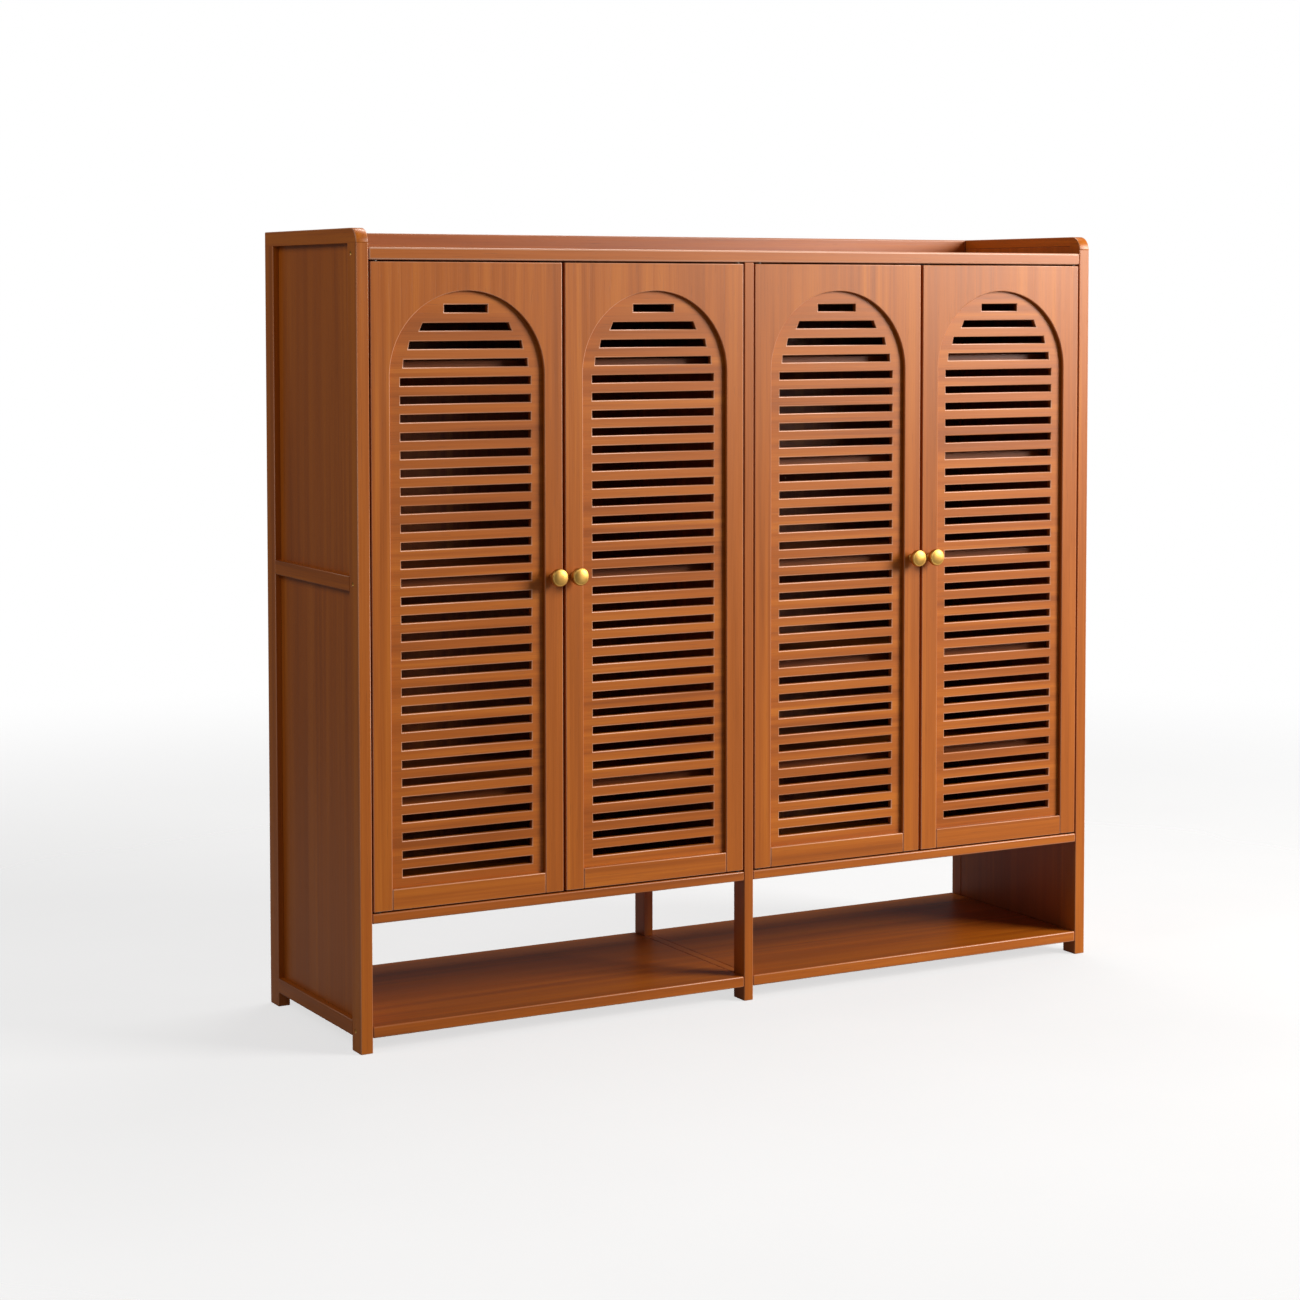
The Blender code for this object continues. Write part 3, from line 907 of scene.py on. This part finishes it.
@dataclass
class SideFrame:
    """One end of the case: two posts, three rails, two panels and the bolts that hold the boards."""

    side: Side
    ease: float = 0.0012
    corner_steps: int = 20
    panel_ease: float = 0.0005
    room: float = 0.0003
    bolt_radius: float = 0.0032
    bolt_depth: float = 0.0022
    bolt_sink: float = 0.0004
    socket_radius: float = 0.0016
    bolt_heights: tuple[float, ...] = (0.028, 0.628, 1.0662)
    bolt_from_edge: float = 0.0115
    bolt_segments: int = 24

    def node(self, part: str) -> str:
        """Name of a CAD node of this side."""
        return f"{self.side.word}_{part}"

    def build(self, shop: Workshop) -> None:
        """Build all pieces of this side.

        Args:
            shop: Workshop that dresses and hangs them.
        """
        panels = {part: box_of(self.node(part)) for part in ("lower_panel", "upper_panel")}
        self.member(shop, "front_post", Grain.Z, panels, self.bolt_holes())
        self.member(shop, "back_post", Grain.Z, panels, [])
        for part in ("middle_rail", "bottom_rail"):
            self.member(shop, part, Grain.Y, panels, [])
        self.top_rail(shop, panels)
        for part, (low, high) in panels.items():
            shop.fit(
                Solid.block(low, high, self.panel_ease), f"side_{part}_{self.side.word}", Slot.SIDE_PANEL,
                Grain.Z, stands_for=[self.node(part)],
            )
        self.bolts(shop)

    def member(
        self, shop: Workshop, part: str, grain: Grain, panels: dict[str, tuple[Vector, Vector]],
        holes: list[Solid],
    ) -> None:
        """Build a straight member, rebated for the panels.

        Args:
            shop: Workshop.
            part: Name of the member.
            grain: Axis of its fibres.
            panels: Corners of the panels that it may hold.
            holes: Bolt holes in it.
        """
        low, high = box_of(self.node(part))
        joints = [(1, low.y), (1, high.y)] if grain is Grain.Y else [(2, high.z)]
        solid = Solid.block(low, high).ease(self.ease, flush=joints)
        solid.carve(*self.rebates(low, high, panels), *holes)
        shop.fit(
            solid, f"{part}_{self.side.word}", Slot.FRAME, grain, stands_for=[self.node(part)],
        )

    def rebates(
        self, low: Vector, high: Vector, panels: dict[str, tuple[Vector, Vector]],
    ) -> list[Solid]:
        """Cutters for the panels that reach into one member.

        Args:
            low: Lowest corner of the member.
            high: Its highest corner.
            panels: Corners of the panels.

        Returns:
            A cutter for each panel that it holds.
        """
        cutters = []
        margin = Vector((self.room,) * 3)
        for panel_low, panel_high in panels.values():
            start, end = panel_low - margin, panel_high + margin
            if any(start[k] >= high[k] or end[k] <= low[k] for k in (1, 2)):
                continue
            if self.side is Side.LEFT:
                end.x = high.x + 0.005
            else:
                start.x = low.x - 0.005
            cutters.append(Solid.block(start, end))
        return cutters

    def top_rail(self, shop: Workshop, panels: dict[str, tuple[Vector, Vector]]) -> None:
        """Build the top rail, which is rounded over at the front.

        Args:
            shop: Workshop.
            panels: Corners of the panels.
        """
        low, high = box_of(self.node("top_rail"))
        low.z -= self.room
        radius = high.z - low.z
        corner = arc((low.y + radius, low.z), radius, 90, 180, self.corner_steps)
        outline = [(high.y, low.z), (high.y, high.z), *corner]
        solid = Solid.prism([outline], Grain.X, low.x, high.x).ease(self.ease, flush=[(2, low.z)])
        solid.carve(*self.rebates(low, high, panels))
        shop.fit(
            solid, f"top_rail_{self.side.word}", Slot.FRAME, Grain.Y, stands_for=[self.node("top_rail")],
        )

    def bolt_spots(self) -> list[tuple[float, float]]:
        """List Y and Z of the bolts in the front post."""
        _, high = box_of(self.node("front_post"))
        return [(high.y - self.bolt_from_edge, z) for z in self.bolt_heights]

    def on_outer_face(self, y: float, z: float) -> Matrix:
        """Turn and move from the Z axis to a place on the outer face, heights pointing out.

        Args:
            y: Y of the place.
            z: Z of the place.

        Returns:
            The matrix.
        """
        low, high = box_of(self.node("front_post"))
        x = low.x if self.side is Side.LEFT else high.x
        turn = Matrix.Rotation(self.side.value * math.pi / 2, 4, "Y")
        return Matrix.Translation((x, y, z)) @ turn

    def bolt_holes(self) -> list[Solid]:
        """Make the cutters for the counterbores in the front post.

        Returns:
            A cutter for each bolt.
        """
        radius = self.bolt_radius + self.room
        return [
            socket(self.bolt_depth, OVERSHOOT, radius, self.on_outer_face(y, z), self.bolt_segments)
            for y, z in self.bolt_spots()
        ]

    def bolts(self, shop: Workshop) -> None:
        """Build the bolt heads of this side as one piece.

        Args:
            shop: Workshop.
        """
        top, r = -self.bolt_sink, self.bolt_radius
        profile = [
            (0, -self.bolt_depth), (r, -self.bolt_depth), (r, top - 0.0006), (r - 0.0002, top - 0.0002),
            (r - 0.0007, top), (self.socket_radius, top), (self.socket_radius, top - 0.0012),
            (0, top - 0.0014),
        ]
        heads = Solid()
        for y, z in self.bolt_spots():
            heads.join(Solid.turned(profile, self.bolt_segments, self.on_outer_face(y, z)))
        shop.fit(heads, f"frame_bolts_{self.side.word}", Slot.BRASS, Grain.X)


@dataclass
class CentreFrame:
    """The two centre posts, the partition between them and their low rail."""

    ease: float = 0.0010

    def build(self, shop: Workshop) -> None:
        """Build the four pieces.

        Args:
            shop: Workshop.
        """
        grains = {"front_post": Grain.Z, "back_post": Grain.Z, "partition": Grain.Z, "low_rail": Grain.Y}
        for part, grain in grains.items():
            node = f"centre_{part}"
            shop.fit(
                Solid.block(*box_of(node), self.ease), f"{part}_centre", Slot.FRAME, grain, stands_for=[node],
            )


@dataclass
class Top:
    """The top board, its arris painted fully pale as a highlight, and the gallery rail behind it, painted
    darker than the frame as shade.
    """

    ease: float = 0.0024
    # Painted highlight: the board's eased arris takes the full pale colour.
    board: Bamboo = replace(FINISHES[Slot.FRAME], wear_and_highlight=1.0)
    # Painted shade: the gallery is a darker, less glossy copy of the frame's finish.
    gallery: Bamboo = Bamboo(
        deep=(0.270, 0.068, 0.0024), middle=(0.355, 0.094, 0.0032), pale=(0.437, 0.131, 0.0060), coat=0.06,
    )

    def build(self, shop: Workshop) -> None:
        """Build both boards.

        Args:
            shop: Workshop.
        """
        for node, name, finish in (
            ("top_board", "board_top", self.board), ("gallery_rail", "rail_gallery", self.gallery),
        ):
            low, high = box_of(node)
            solid = Solid.block(low, high, self.ease)
            if node == "top_board":
                solid.carve(*pin_holes("top", low, high))
            piece = shop.fit(solid, name, Slot.FRAME, Grain.X, stands_for=[node])
            piece.data.materials[0] = finish.make(f"bamboo_{name}")


@dataclass
class Bay:
    """What lies between one side and the centre: low shelf, floor, inner shelves, back panel and catch."""

    side: Side
    ease: float = 0.0018
    shelf_ease: float = 0.0010
    panel_ease: float = 0.0004
    support_radius: float = 0.0025
    support_reach: float = 0.009
    support_inset: float = 0.035
    catch_chamfer: float = 0.004
    catch_ease: float = 0.0006
    pole_reach: float = 0.018       # from the middle of the catch to each door's poles
    pole_drops: tuple[float, ...] = (0.0064, 0.0026)
    pole_half: tuple[float, float] = (0.006, 0.0007)
    pole_depth: float = 0.004
    pole_room: float = 0.0001

    def node(self, part: str) -> str:
        """Name of a CAD node of this bay."""
        return f"{self.side.word}_{part}"

    def shelves(self) -> list[str]:
        """Names of the shelves' CAD nodes."""
        start = self.node("shelf_")
        return sorted(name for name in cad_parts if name.startswith(start))

    def build(self, shop: Workshop) -> None:
        """Build all pieces of this bay.

        Args:
            shop: Workshop.
        """
        word = self.side.word
        for part, name in (("low_shelf", "board_low_shelf"), ("cabinet_floor", "board_floor")):
            low, high = box_of(self.node(part))
            solid = Solid.block(low, high, self.ease)
            if part == "cabinet_floor":
                solid.carve(*pin_holes("bottom", low, high))
            shop.fit(solid, f"{name}_{word}", Slot.FRAME, Grain.X, stands_for=[self.node(part)])
        for number, node in enumerate(self.shelves(), start=1):
            shop.fit(
                Solid.block(*box_of(node), self.shelf_ease), f"inner_shelf_{word}_{number}", Slot.SHELF,
                Grain.X, stands_for=[node],
            )
        shop.fit(
            Solid.block(*box_of(self.node("back_panel")), self.panel_ease), f"panel_back_{word}", Slot.SHELF,
            Grain.Z, stands_for=[self.node("back_panel")],
        )
        self.supports(shop)
        self.catch(shop)

    def supports(self, shop: Workshop) -> None:
        """Build the pins under the inner shelves as one piece.

        Args:
            shop: Workshop.
        """
        r = self.support_radius
        profile = smoothed([
            (0, -0.004), (r, -0.004), (r, 0.0), (r, self.support_reach - 0.001),
            (r * 0.7, self.support_reach), (0, self.support_reach),
        ], 1)
        pins = Solid()
        for node in self.shelves():
            low, high = box_of(node)
            for y in (low.y + self.support_inset, high.y - self.support_inset):
                for x, way in ((low.x, 1), (high.x, -1)):
                    turn = Matrix.Rotation(way * math.pi / 2, 4, "Y")
                    place = Matrix.Translation((x, y, low.z - r - 0.0001)) @ turn
                    pins.join(Solid.turned(profile, 20, place))
        shop.fit(pins, f"shelf_pins_{self.side.word}", Slot.STEEL, Grain.X)

    def catch(self, shop: Workshop) -> None:
        """Build the magnetic catch with its four pole plates.

        Args:
            shop: Workshop.
        """
        node = self.node("catch")
        low, high = box_of(node)
        outline = [
            (low.y, high.z), (low.y, low.z + self.catch_chamfer), (low.y + self.catch_chamfer, low.z),
            (high.y, low.z), (high.y, high.z),
        ]
        body = Solid.prism([outline], Grain.X, low.x, high.x).ease(self.catch_ease, 2)
        middle = (low.x + high.x) / 2
        room = Vector((self.pole_room,) * 3)
        plates = Solid()
        pockets = []
        for x in (middle - self.pole_reach, middle + self.pole_reach):
            for drop in self.pole_drops:
                half_x, half_z = self.pole_half
                z = high.z - drop
                start = Vector((x - half_x, low.y, z - half_z))
                end = Vector((x + half_x, low.y + self.pole_depth, z + half_z))
                plates.join(Solid.block(start, end, 0.0002, 2))
                mouth = Vector((start.x, low.y - 0.001 + self.pole_room, start.z))
                pockets.append(Solid.block(mouth - room, end + room))
        body.carve(*pockets)
        shop.fit(body, f"catch_body_{self.side.word}", Slot.PLASTIC, Grain.X, stands_for=[node])
        shop.fit(plates, f"catch_plates_{self.side.word}", Slot.STEEL, Grain.X)


@dataclass
class Door:
    """One slatted arch door with its knob, pins and strike plate."""

    number: int
    stile: float = 0.0274
    arch_head: float = 0.0385
    rail_height: float = 0.0283
    lip: float = 0.006
    lap: float = 0.008
    fit: float = 0.0003
    ease: float = 0.0012
    arch_steps: int = 72
    slat_thickness: float = 0.009
    slat_ease: float = 0.0015
    slot_height: float = 0.0104
    slot_pitch: float = 0.0244
    slot_top_border: float = 0.0186
    slot_bottom_border: float = 0.0130
    slot_side_border: float = 0.0177
    slot_arc_border: float = 0.0208
    top_slot_half: float = 0.032
    slot_slant: float = 0.45        # slant of a slot's ends against the curve that they follow
    knob_radius: float = 0.0125
    knob_segments: int = 64
    spigot: float = 0.008
    spigot_radius: float = 0.003
    strike: tuple[float, float, float] = (0.010, 0.014, 0.0010)     # half width, height, thickness
    strike_drop: float = 0.002
    rivet_reach: float = 0.006
    rivet_drop: float = 0.0105
    low: Vector = field(init=False)
    high: Vector = field(init=False)

    def __post_init__(self) -> None:
        """Read the door's place from its frame."""
        self.low, self.high = box_of(self.node("frame"))

    def node(self, part: str) -> str:
        """Name of a CAD node of this door."""
        return f"door_{self.number}_{part}"

    @property
    def body(self) -> str:
        """Body that the door's pieces ride on."""
        return f"door_{self.number}"

    @property
    def middle(self) -> float:
        """X of the door's centre line."""
        return (self.low.x + self.high.x) / 2

    @property
    def arch_radius(self) -> float:
        """Radius of the arch."""
        return (self.high.x - self.low.x) / 2 - self.stile

    @property
    def spring(self) -> float:
        """Height where the arch starts."""
        return self.high.z - self.arch_head - self.arch_radius

    @property
    def rail_top(self) -> float:
        """Top of the bottom rail."""
        return self.low.z + self.rail_height

    def build(self, shop: Workshop) -> None:
        """Build all pieces of the door.

        Args:
            shop: Workshop.
        """
        shop.fit(
            self.frame(), f"arched_frame_{self.number}", Slot.DOOR, Grain.Z, self.body, [self.node("frame")],
        )
        shop.fit(
            self.rail(), f"door_rail_{self.number}", Slot.DOOR, Grain.X, self.body,
            [self.node("bottom_rail")],
        )
        shop.fit(
            self.slats(), f"slatted_panel_{self.number}", Slot.SLATS, Grain.X, self.body,
            [self.node("slat_panel")],
        )
        shop.fit(
            self.knob(), f"turned_knob_{self.number}", Slot.BRASS, Grain.Y, self.body, [self.node("knob")],
        )
        shop.fit(self.hardware(), f"door_hardware_{self.number}", Slot.STEEL, Grain.X, self.body)
        for part in ("top_pin", "bottom_pin"):
            shop.dress(self.node(part), Slot.STEEL, Grain.Z)

    def arched(self, half_width: float, bottom: float) -> Outline:
        """Outline of an arch on the door's centre line, anticlockwise.

        Args:
            half_width: Half the width, and the radius of the head.
            bottom: Height of the foot.

        Returns:
            The outline.
        """
        head = arc((self.middle, self.spring), half_width, 0, 180, self.arch_steps)
        return [(self.middle - half_width, bottom), (self.middle + half_width, bottom), *head]

    def panel_room(self) -> Solid:
        """Cutter for the rebate that holds the slatted panel."""
        outline = self.arched(self.arch_radius + self.lap, self.rail_top - self.lap)
        return Solid.prism([outline], Grain.Y, self.low.y + self.lip, self.high.y + 0.005)

    def frame(self) -> Solid:
        """Cut stiles and arched head from one board.

        Returns:
            The board, with its rebate and the holes for pins and knob.
        """
        r, x = self.arch_radius, self.middle
        opening = arc((x, self.spring), r, 0, 180, self.arch_steps)
        outline = [
            (x - r, self.low.z), *opening[::-1], (x + r, self.low.z),
            (self.high.x, self.low.z), (self.high.x, self.high.z),
            (self.low.x, self.high.z), (self.low.x, self.low.z),
        ]
        solid = Solid.prism([outline], Grain.Y, self.low.y, self.high.y).ease(self.ease)
        pins = [hole for end in ("top", "bottom") for hole in pin_holes(end, self.low, self.high)]
        spigot_hole = socket(
            self.spigot + self.fit, OVERSHOOT, self.spigot_radius + self.fit, self.knob_place(),
        )
        return solid.carve(self.panel_room(), *pins, spigot_hole)

    def knob_place(self) -> Matrix:
        """Turn and move from the Z axis to the knob's axis, heights pointing out of the door's face.

        Returns:
            The matrix.
        """
        low, high = box_of(self.node("knob"))
        place = Matrix.Translation(((low.x + high.x) / 2, self.low.y, (low.z + high.z) / 2))
        return place @ Matrix.Rotation(math.pi / 2, 4, "X")

    def rail(self) -> Solid:
        """Make the bottom rail."""
        low, high = box_of(self.node("bottom_rail"))
        return Solid.block(low, high, self.ease).carve(self.panel_room())

    def slot_half(self, height: float) -> float:
        """Find half the length of a slot's edge.

        Args:
            height: Z of the edge.

        Returns:
            Half its length, which follows the arch above the spring.
        """
        rise = height - self.spring
        straight = self.arch_radius - self.slot_side_border
        if rise <= 0:
            return straight
        radius = self.arch_radius - self.slot_arc_border
        curved = math.sqrt(max(radius ** 2 - rise ** 2, 0.0))
        return min(max(curved, self.top_slot_half), straight)

    def slots(self) -> list[Outline]:
        """Lay out the slots.

        Returns:
            Their outlines, clockwise, from the arch down.
        """
        x = self.middle
        first = self.spring + self.arch_radius - self.slot_top_border
        lowest = self.rail_top + self.slot_bottom_border
        count = 1 + math.floor((first - self.slot_height - lowest) / self.slot_pitch)
        outlines = []
        for number in range(count):
            top = first - number * self.slot_pitch
            bottom = top - self.slot_height
            upper = self.slot_half(top)
            lower = self.slot_half(bottom) if number else upper
            spread = (lower - upper) * (1 - self.slot_slant) / 2
            upper, lower = upper + spread, lower - spread
            outlines.append([(x - lower, bottom), (x - upper, top), (x + upper, top), (x + lower, bottom)])
        return outlines

    def slats(self) -> Solid:
        """Make the slatted panel.

        Returns:
            The panel, every slot eased on both faces.
        """
        edge = self.arched(self.arch_radius + self.lap - self.fit, self.rail_top - self.lap + self.fit)
        start = self.low.y + self.lip + self.fit
        return Solid.prism(
            [edge, *self.slots()], Grain.Y, start, start + self.slat_thickness,
            (self.slat_ease, self.slat_ease),
        )

    def knob(self) -> Solid:
        """Turn the knob.

        Returns:
            The knob, with a slim neck, a beaded rim and a spigot that goes into the door.
        """
        low, _ = box_of(self.node("knob"))
        r, h = self.knob_radius, self.low.y - low.y
        base = [(0.0, -self.spigot), (self.spigot_radius, -self.spigot), (self.spigot_radius, self.fit),
                (0.48 * r, self.fit), (0.50 * r, 0.03 * h)]
        face = smoothed([
            (0.49 * r, 0.06 * h), (0.42 * r, 0.14 * h), (0.41 * r, 0.36 * h), (0.56 * r, 0.48 * h),
            (0.88 * r, 0.56 * h), (0.985 * r, 0.64 * h), (r, 0.74 * h), (0.985 * r, 0.84 * h),
            (0.93 * r, 0.905 * h), (0.86 * r, 0.925 * h), (0.80 * r, 0.928 * h), (0.58 * r, 0.965 * h),
            (0.30 * r, 0.991 * h), (0.0, h),
        ], 4)
        return Solid.turned(base + face, self.knob_segments, self.knob_place())

    def hardware(self) -> Solid:
        """Make the knob's screw head and the strike plate on the back of the door.

        Returns:
            Both, with the plate's rivets.
        """
        low, high = box_of(self.node("knob"))
        x, z = (low.x + high.x) / 2, (low.z + high.z) / 2
        back = self.high.y
        toward_back = Matrix.Rotation(-math.pi / 2, 4, "X")
        head = smoothed([
            (0, 0.0), (0.0040, 0.0), (0.0042, 0.0006), (0.0034, 0.0014), (0.0018, 0.0018), (0, 0.0019),
        ], 1)
        parts = Solid.turned(head, 28, Matrix.Translation((x, back, z)) @ toward_back)
        half, height, thickness = self.strike
        plate_top = self.high.z - self.strike_drop
        plate_low = (x - half, back, plate_top - height)
        parts.join(Solid.block(plate_low, (x + half, back + thickness, plate_top), 0.0003, 2))
        rivet = [(0, 0.0), (0.0018, 0.0), (0.0015, 0.0004), (0, 0.00055)]
        for reach in (-self.rivet_reach, self.rivet_reach):
            spot = Vector((x + reach, back + thickness - RIVET_SINK, plate_top - self.rivet_drop))
            parts.join(Solid.turned(rivet, 20, Matrix.Translation(spot) @ toward_back))
        return parts


# ---------------------------------------------------------------- studio

@dataclass(frozen=True)
class Lamp:
    """A soft rectangular lamp."""

    name: str
    place: tuple[float, float, float]
    target: tuple[float, float, float]
    size: tuple[float, float]       # width and height of its face
    power: float                    # in watts
    colour: Colour

    def hang(self) -> None:
        """Hang the lamp in its place, facing its target."""
        light = bpy.data.lights.new(self.name, "AREA")
        light.shape = "RECTANGLE"
        light.size, light.size_y = self.size
        light.energy = self.power
        light.color = self.colour
        lamp = bpy.data.objects.new(self.name, light)
        lamp.location = self.place
        aim = Vector(self.target) - Vector(self.place)
        lamp.rotation_euler = aim.to_track_quat("-Z", "Y").to_euler()
        bpy.context.scene.collection.objects.link(lamp)
        LOG.info("%s: lamp", self.name)


@dataclass
class Studio:
    """Floor, lights and camera."""

    lamps: tuple[Lamp, ...] = (
        Lamp("key_softbox", (3.1, -2.75, 2.05), (0.1, -0.1, 0.65), (2.0, 1.9), 246.0, (1.0, 0.98, 0.95)),
        Lamp("top_softbox", (0.9, 0.75, 3.2), (0.2, 0.2, 1.0), (1.8, 0.4), 46.0, (1.0, 0.98, 0.96)),
        Lamp("side_fill", (-2.4, -0.2, 2.2), (-0.6, 0.0, 0.8), (1.2, 1.2), 18.0, (1.0, 0.98, 0.96)),
    )

    camera_place: tuple[float, float, float] = (-2.05863, -3.62832, 1.00828)
    yaw: float = 0.5176
    pitch: float = 0.0536
    lens: float = 78.78
    shift: tuple[float, float] = (-0.0385, -0.1538)
    floor_size: float = 8.0
    floor_full: float = 1.2         # radius where the floor starts to fade out
    floor_end: float = 3.4          # radius where it has gone
    floor_cover: float = 0.30       # how much of it shows against the backdrop
    gamma: float = 0.9
    ambient: Colour = (0.11, 0.11, 0.115)
    backdrop: Colour = (1.0, 1.0, 1.0)

    def build(self) -> None:
        """Set up the studio."""
        self.floor()
        self.world()
        for lamp in self.lamps:
            lamp.hang()
        self.camera()
        view = bpy.context.scene.view_settings
        view.view_transform = "Standard"
        view.gamma = self.gamma

    def floor(self) -> None:
        """Lay the pale floor."""
        bm = bmesh.new()
        bmesh.ops.create_circle(bm, cap_ends=True, radius=self.floor_size / 2, segments=96)
        mesh = bpy.data.meshes.new("floor")
        bm.to_mesh(mesh)
        bm.free()
        floor = bpy.data.objects.new("floor", mesh)
        bpy.context.scene.collection.objects.link(floor)
        tree = ShaderTree("pale_floor")
        place = tree.node("ShaderNodeTexCoord", {}, {}, "Object")
        cloud = tree.noise(place, 3.0, 2.0)
        colour = tree.ramp(cloud, [(0.3, (0.80, 0.80, 0.80)), (0.7, (0.83, 0.83, 0.83))])
        reach = tree.node("ShaderNodeVectorMath", {"operation": "LENGTH"}, {0: place}, "Value")
        cover = reach.band(self.floor_end, self.floor_full) * self.floor_cover
        tree.set(Base_Color=colour, Roughness=0.85, Alpha=cover)
        mesh.materials.append(tree.material)
        LOG.info("floor: stage")

    def world(self) -> None:
        """Surround the object with soft even light, with a plain pale backdrop behind it."""
        world = bpy.data.worlds.new("studio")
        world.use_nodes = True
        nodes, links = world.node_tree.nodes, world.node_tree.links
        surround = nodes["Background"]
        surround.inputs["Color"].default_value = (*self.ambient, 1.0)
        backdrop = nodes.new("ShaderNodeBackground")
        backdrop.inputs["Color"].default_value = (*self.backdrop, 1.0)
        path = nodes.new("ShaderNodeLightPath")
        mixer = nodes.new("ShaderNodeMixShader")
        links.new(path.outputs["Is Camera Ray"], mixer.inputs["Fac"])
        links.new(surround.outputs["Background"], mixer.inputs[1])
        links.new(backdrop.outputs["Background"], mixer.inputs[2])
        links.new(mixer.outputs["Shader"], nodes["World Output"].inputs["Surface"])
        bpy.context.scene.world = world

    def camera(self) -> None:
        """Set up the camera."""
        data = bpy.data.cameras.new("camera")
        data.sensor_width = 36.0
        data.lens = self.lens
        data.shift_x, data.shift_y = self.shift
        camera = bpy.data.objects.new("camera", data)
        camera.location = self.camera_place
        camera.rotation_euler = (math.pi / 2 - self.pitch, 0.0, -self.yaw)
        bpy.context.scene.collection.objects.link(camera)
        bpy.context.scene.camera = camera


def main() -> None:
    """Build the cabinet and the studio."""
    shop = Workshop({slot: finish.make(slot.value) for slot, finish in FINISHES.items()})
    assemblies = [
        SideFrame(Side.LEFT), SideFrame(Side.RIGHT), CentreFrame(), Top(), Bay(Side.LEFT), Bay(Side.RIGHT),
        *(Door(number) for number in DOORS),
    ]
    for assembly in assemblies:
        assembly.build(shop)
    Studio().build()
    bpy.context.view_layer.update()


if __name__ == "__main__":
    logging.basicConfig(level=logging.INFO, format="%(message)s")
    main()
